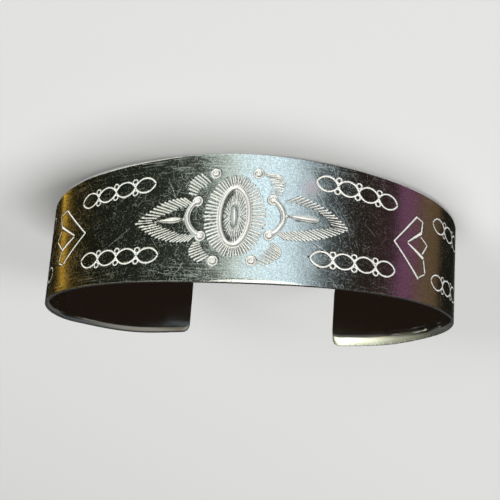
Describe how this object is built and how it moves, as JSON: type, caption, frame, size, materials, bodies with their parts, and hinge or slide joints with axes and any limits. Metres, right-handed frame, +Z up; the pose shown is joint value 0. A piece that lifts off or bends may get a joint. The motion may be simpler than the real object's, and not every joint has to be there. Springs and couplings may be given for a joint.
{
  "type": "cuff bracelet",
  "caption": "Open oval cuff bracelet of tapered silver sheet with a raised oval ornament on the front, lying on its side.",
  "frame": {"origin": "middle of the bounding box's base, on the surface that the cuff rests on", "axes": "+X across the cuff's width, +Y from the ornamented front to the open back, +Z up from the rim that it rests on"},
  "size_m": [0.06, 0.0412, 0.0185],
  "materials": {
    "silver": "polished silver worn to a haze of fine scratches, darkened in the struck lines"
  },
  "bodies": {
    "root": {"cuff_band": "silver"}
  },
  "joints": []
}
